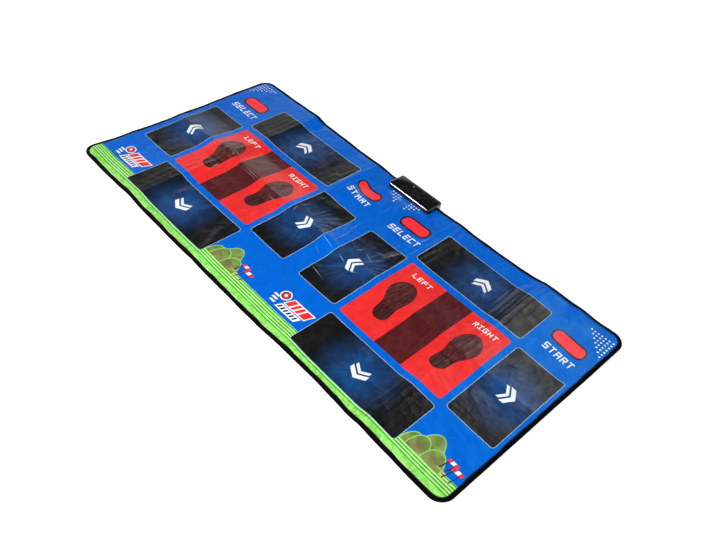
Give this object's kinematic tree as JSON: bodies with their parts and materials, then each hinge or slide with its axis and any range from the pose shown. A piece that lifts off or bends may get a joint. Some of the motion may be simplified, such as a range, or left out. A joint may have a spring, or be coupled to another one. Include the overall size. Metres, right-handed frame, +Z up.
{
  "type": "game mat",
  "caption": "Two-player fabric running mat with press pads, a bound edge and a small control box clamped to the middle of its back edge.",
  "frame": {"origin": "on the floor, under the middle of the mat and its control box", "axes": "+X along the mat, +Y to the edge with the control box, +Z up"},
  "size_m": [1.7, 0.801, 0.0232],
  "materials": {
    "printed_cover": "glossy printed vinyl skin with a fine leather-like grain",
    "black_pad": "glossy black printed vinyl",
    "red_pad": "glossy red printed vinyl",
    "button_pad": "glossy red printed vinyl",
    "foam": "open cell foam sheet",
    "film": "clear polyester film with printed traces",
    "carbon_ink": "matt carbon print on film",
    "bottom_fabric": "coated non-slip fabric",
    "binding_tape": "woven black binding tape",
    "steel": "zinc plated steel",
    "case": "high gloss black moulding",
    "board": "green solder mask",
    "black_plastic": "moulded black plastic",
    "lens": "clear light guide",
    "rubber_pad": "soft grey silicone strip"
  },
  "bodies": {
    "mat": {"top_cover": "printed_cover", "foam_spacer": "foam", "lower_film": "film", "bottom_sheet": "bottom_fabric", "edge_binding": "binding_tape", "clamp_plate": "steel", "clamp_screw_1": "steel", "clamp_screw_2": "steel", "clamp_screw_3": "steel", "clamp_screw_4": "steel", "console_base": "case", "console_top": "case", "rear_panel": "case", "case_screw_left": "steel", "case_screw_right": "steel", "circuit_board": "board", "processor_chip": "black_plastic", "indicator_lens": "lens", "video_socket": "steel", "power_socket": "black_plastic", "power_switch_body": "black_plastic", "sensor_tail_left": "film", "sensor_tail_right": "film", "tail_clamp_pad": "rubber_pad"},
    "p1_up": {"p1_up_pad": "black_pad", "p1_up_contact": "carbon_ink"},
    "p1_down": {"p1_down_pad": "black_pad", "p1_down_contact": "carbon_ink"},
    "p1_left": {"p1_left_pad": "black_pad", "p1_left_contact": "carbon_ink"},
    "p1_right": {"p1_right_pad": "black_pad", "p1_right_contact": "carbon_ink"},
    "p1_left_foot": {"p1_left_foot_pad": "red_pad", "p1_left_foot_contact": "carbon_ink"},
    "p1_right_foot": {"p1_right_foot_pad": "red_pad", "p1_right_foot_contact": "carbon_ink"},
    "p1_select": {"p1_select_pad": "button_pad", "p1_select_contact": "carbon_ink"},
    "p1_start": {"p1_start_pad": "button_pad", "p1_start_contact": "carbon_ink"},
    "p2_up": {"p2_up_pad": "black_pad", "p2_up_contact": "carbon_ink"},
    "p2_down": {"p2_down_pad": "black_pad", "p2_down_contact": "carbon_ink"},
    "p2_left": {"p2_left_pad": "black_pad", "p2_left_contact": "carbon_ink"},
    "p2_right": {"p2_right_pad": "black_pad", "p2_right_contact": "carbon_ink"},
    "p2_left_foot": {"p2_left_foot_pad": "red_pad", "p2_left_foot_contact": "carbon_ink"},
    "p2_right_foot": {"p2_right_foot_pad": "red_pad", "p2_right_foot_contact": "carbon_ink"},
    "p2_select": {"p2_select_pad": "button_pad", "p2_select_contact": "carbon_ink"},
    "p2_start": {"p2_start_pad": "button_pad", "p2_start_contact": "carbon_ink"},
    "power_switch": {"power_switch_knob": "black_plastic"}
  },
  "joints": [
    {"name": "p1_up_press", "type": "slide", "parent": "mat", "child": "p1_up", "axis": [0, 0, -1], "range_m": [0, 0.0025], "stiffness_N_per_m": 8000, "springref_m": -0.001},
    {"name": "p1_down_press", "type": "slide", "parent": "mat", "child": "p1_down", "axis": [0, 0, -1], "range_m": [0, 0.0025], "stiffness_N_per_m": 8000, "springref_m": -0.001},
    {"name": "p1_left_press", "type": "slide", "parent": "mat", "child": "p1_left", "axis": [0, 0, -1], "range_m": [0, 0.0025], "stiffness_N_per_m": 8000, "springref_m": -0.001},
    {"name": "p1_right_press", "type": "slide", "parent": "mat", "child": "p1_right", "axis": [0, 0, -1], "range_m": [0, 0.0025], "stiffness_N_per_m": 8000, "springref_m": -0.001},
    {"name": "p1_left_foot_press", "type": "slide", "parent": "mat", "child": "p1_left_foot", "axis": [0, 0, -1], "range_m": [0, 0.0025], "stiffness_N_per_m": 8000, "springref_m": -0.001},
    {"name": "p1_right_foot_press", "type": "slide", "parent": "mat", "child": "p1_right_foot", "axis": [0, 0, -1], "range_m": [0, 0.0025], "stiffness_N_per_m": 8000, "springref_m": -0.001},
    {"name": "p1_select_press", "type": "slide", "parent": "mat", "child": "p1_select", "axis": [0, 0, -1], "range_m": [0, 0.0025], "stiffness_N_per_m": 3000, "springref_m": -0.001},
    {"name": "p1_start_press", "type": "slide", "parent": "mat", "child": "p1_start", "axis": [0, 0, -1], "range_m": [0, 0.0025], "stiffness_N_per_m": 3000, "springref_m": -0.001},
    {"name": "p2_up_press", "type": "slide", "parent": "mat", "child": "p2_up", "axis": [0, 0, -1], "range_m": [0, 0.0025], "stiffness_N_per_m": 8000, "springref_m": -0.001},
    {"name": "p2_down_press", "type": "slide", "parent": "mat", "child": "p2_down", "axis": [0, 0, -1], "range_m": [0, 0.0025], "stiffness_N_per_m": 8000, "springref_m": -0.001},
    {"name": "p2_left_press", "type": "slide", "parent": "mat", "child": "p2_left", "axis": [0, 0, -1], "range_m": [0, 0.0025], "stiffness_N_per_m": 8000, "springref_m": -0.001},
    {"name": "p2_right_press", "type": "slide", "parent": "mat", "child": "p2_right", "axis": [0, 0, -1], "range_m": [0, 0.0025], "stiffness_N_per_m": 8000, "springref_m": -0.001},
    {"name": "p2_left_foot_press", "type": "slide", "parent": "mat", "child": "p2_left_foot", "axis": [0, 0, -1], "range_m": [0, 0.0025], "stiffness_N_per_m": 8000, "springref_m": -0.001},
    {"name": "p2_right_foot_press", "type": "slide", "parent": "mat", "child": "p2_right_foot", "axis": [0, 0, -1], "range_m": [0, 0.0025], "stiffness_N_per_m": 8000, "springref_m": -0.001},
    {"name": "p2_select_press", "type": "slide", "parent": "mat", "child": "p2_select", "axis": [0, 0, -1], "range_m": [0, 0.0025], "stiffness_N_per_m": 3000, "springref_m": -0.001},
    {"name": "p2_start_press", "type": "slide", "parent": "mat", "child": "p2_start", "axis": [0, 0, -1], "range_m": [0, 0.0025], "stiffness_N_per_m": 3000, "springref_m": -0.001},
    {"name": "power_switch_slide", "type": "slide", "parent": "mat", "child": "power_switch", "axis": [0, 1, 0], "range_m": [0, 0.003]}
  ]
}
